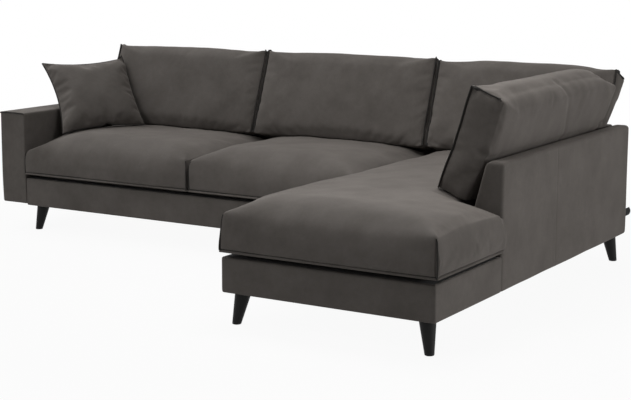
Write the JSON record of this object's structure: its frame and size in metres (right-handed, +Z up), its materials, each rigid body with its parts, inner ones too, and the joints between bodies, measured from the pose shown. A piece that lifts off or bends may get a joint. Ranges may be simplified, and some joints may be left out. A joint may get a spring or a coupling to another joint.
{
  "type": "corner sofa",
  "caption": "Corner sofa with a low padded arm, loose box seat cushions, leaning back cushions and a chaise beside a raked side panel, on short splayed legs.",
  "frame": {"origin": "floor level under the middle of the sofa's bounding box", "axes": "+X along the sofa from the arm to the chaise side, +Y from the front to the back, +Z up"},
  "size_m": [3.1122, 2.045, 0.9295],
  "materials": {
    "upholstery": "soft brushed microfibre, dark taupe grey",
    "pillow_fabric": "the same brushed microfibre",
    "foam": "cut foam wrapped in fibre",
    "wood": "sawn pine and plywood",
    "webbing": "woven elastic webbing",
    "felt": "needled felt",
    "dust_cloth": "black non-woven cloth",
    "leg_black": "black satin lacquer",
    "steel": "zinc plated",
    "glide_plastic": "moulded",
    "tag_cloth": "plain black ribbon"
  },
  "bodies": {
    "root": {"arm_bolts": "steel", "arm_cover": "upholstery", "arm_frame": "wood", "chaise_back_cover": "upholstery", "chaise_back_frame": "wood", "chaise_base_cover": "upholstery", "chaise_cross_rails": "wood", "chaise_dust_cover": "dust_cloth", "chaise_front_rail": "wood", "chaise_rear_rail": "wood", "chaise_seat_deck": "felt", "chaise_side_rails": "wood", "chaise_webbing": "webbing", "connector_hooks": "steel", "connector_screws": "steel", "connector_sockets": "steel", "corner_blocks": "wood", "label_tag": "tag_cloth", "leg_bolts": "steel", "leg_chaise_front_left": "leg_black", "leg_chaise_front_right": "leg_black", "leg_chaise_rear_left": "leg_black", "leg_chaise_rear_right": "leg_black", "leg_glides": "glide_plastic", "leg_main_front_left": "leg_black", "leg_main_front_right": "leg_black", "leg_main_rear_left": "leg_black", "leg_main_rear_right": "leg_black", "leg_plate_screws": "steel", "leg_plates": "steel", "main_back_cover": "upholstery", "main_back_frame": "wood", "main_base_cover": "upholstery", "main_cross_rails": "wood", "main_dust_cover": "dust_cloth", "main_front_rail": "wood", "main_rear_rail": "wood", "main_seat_deck": "felt", "main_side_rails": "wood", "main_webbing": "webbing", "panel_bolts": "steel", "side_panel_cover": "upholstery", "side_panel_frame": "wood", "webbing_clips": "steel"},
    "seat_left": {"seat_left_cover": "upholstery", "seat_left_filling": "foam"},
    "seat_middle": {"seat_middle_cover": "upholstery", "seat_middle_filling": "foam"},
    "chaise_seat": {"chaise_seat_cover": "upholstery", "chaise_seat_filling": "foam"},
    "back_left": {"back_left_cover": "upholstery", "back_left_filling": "foam"},
    "back_middle": {"back_middle_cover": "upholstery", "back_middle_filling": "foam"},
    "back_corner": {"back_corner_cover": "upholstery", "back_corner_filling": "foam"},
    "back_side": {"back_side_cover": "upholstery", "back_side_filling": "foam"},
    "throw_pillow": {"throw_pillow_cover": "pillow_fabric", "throw_pillow_filling": "foam"}
  },
  "joints": [
    {"name": "seat_left_pull", "type": "slide", "parent": "root", "child": "seat_left", "axis": [0, -1, 0], "range_m": [0, 0.7]},
    {"name": "seat_middle_pull", "type": "slide", "parent": "root", "child": "seat_middle", "axis": [0, -1, 0], "range_m": [0, 0.7]},
    {"name": "chaise_seat_pull", "type": "slide", "parent": "root", "child": "chaise_seat", "axis": [0, -1, 0], "range_m": [0, 1]},
    {"name": "back_left_lift", "type": "slide", "parent": "root", "child": "back_left", "axis": [0, 0.2588, 0.9659], "range_m": [0, 0.35]},
    {"name": "back_middle_lift", "type": "slide", "parent": "root", "child": "back_middle", "axis": [0, 0.2588, 0.9659], "range_m": [0, 0.35]},
    {"name": "back_corner_lift", "type": "slide", "parent": "root", "child": "back_corner", "axis": [0, 0.2588, 0.9659], "range_m": [0, 0.35]},
    {"name": "back_side_lift", "type": "slide", "parent": "root", "child": "back_side", "axis": [0.2588, 0, 0.9659], "range_m": [0, 0.35]},
    {"name": "throw_pillow_lift", "type": "slide", "parent": "root", "child": "throw_pillow", "axis": [0, 0, 1], "range_m": [0, 0.4]}
  ]
}
